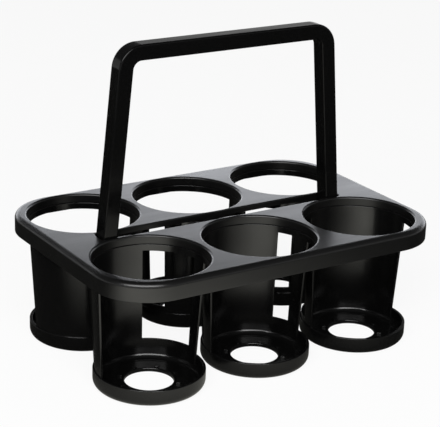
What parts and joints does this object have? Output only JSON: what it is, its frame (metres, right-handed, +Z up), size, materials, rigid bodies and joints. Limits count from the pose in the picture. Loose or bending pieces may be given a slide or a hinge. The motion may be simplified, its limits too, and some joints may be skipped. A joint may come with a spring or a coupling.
{
  "type": "six pack bottle carrier",
  "caption": "Moulded plastic bottle carrier: a skirted tray over half-open cups in two rows, with a slot between the rows for a stirrup handle that slides down.",
  "frame": {"origin": "on the ground under the middle of the tray", "axes": "+X along the long side, +Y to the rear row of cups, +Z up"},
  "size_m": [0.259, 0.1812, 0.219],
  "materials": {
    "tray_plastic": "satin black moulded polypropylene",
    "cup_plastic": "satin black moulded polypropylene",
    "handle_plastic": "satin black moulded polypropylene"
  },
  "bodies": {
    "basket": {"tray": "tray_plastic", "cup_front_left": "cup_plastic", "cup_front_middle": "cup_plastic", "cup_front_right": "cup_plastic", "cup_rear_left": "cup_plastic", "cup_rear_middle": "cup_plastic", "cup_rear_right": "cup_plastic"},
    "handle": {"handle": "handle_plastic"}
  },
  "joints": [
    {"name": "handle_slide", "type": "slide", "parent": "basket", "child": "handle", "axis": [0, 0, 1], "range_m": [-0.07, 0]}
  ]
}
